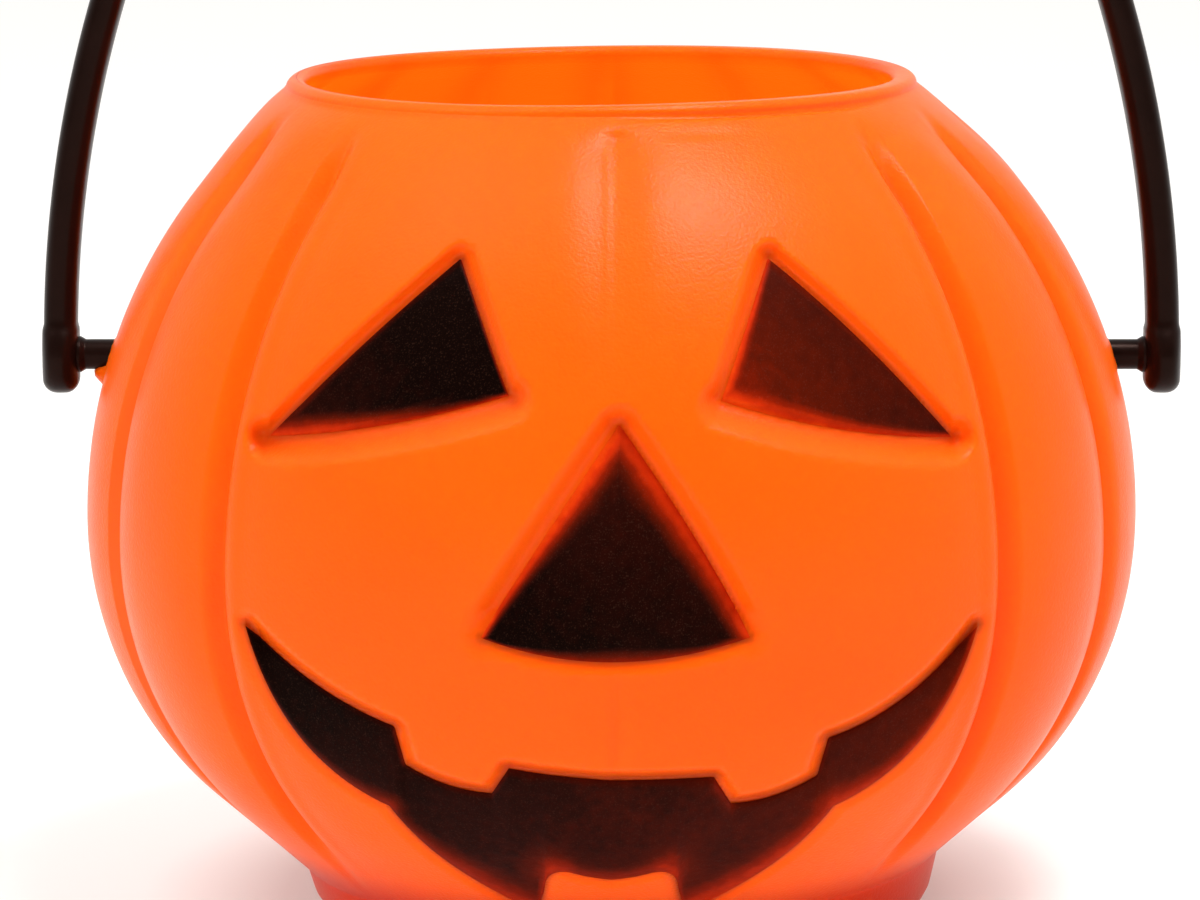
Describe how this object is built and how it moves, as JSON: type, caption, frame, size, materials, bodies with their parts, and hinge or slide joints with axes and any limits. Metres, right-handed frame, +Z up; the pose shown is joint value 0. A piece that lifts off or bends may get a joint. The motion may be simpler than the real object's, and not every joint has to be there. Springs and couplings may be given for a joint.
{
  "type": "pumpkin candy pail",
  "caption": "Round plastic pumpkin pail with lobed sides, a recessed black-painted jack-o'-lantern face and a swinging arched bail handle, for carrying sweets.",
  "frame": {"origin": "middle of the base ring, on the surface that the pail stands on", "axes": "+Z up through the rim, -Y out of the face, X along the handle's pivot line"},
  "size_m": [0.234, 0.2143, 0.2723],
  "materials": {
    "orange_plastic": "satin blow-moulded polyethylene with a fine grain",
    "black_plastic": "satin injection-moulded black plastic",
    "face_paint": "thin sprayed black paint"
  },
  "bodies": {
    "pail": {"pail_shell": "orange_plastic", "left_eye_paint": "face_paint", "right_eye_paint": "face_paint", "nose_paint": "face_paint", "mouth_paint": "face_paint"},
    "handle": {"handle": "black_plastic"}
  },
  "joints": [
    {"name": "handle_swing", "type": "hinge", "parent": "pail", "child": "handle", "pos_m": [0, 0, 0.1136], "axis": [1, 0, 0], "range_deg": [-130, 130]}
  ]
}
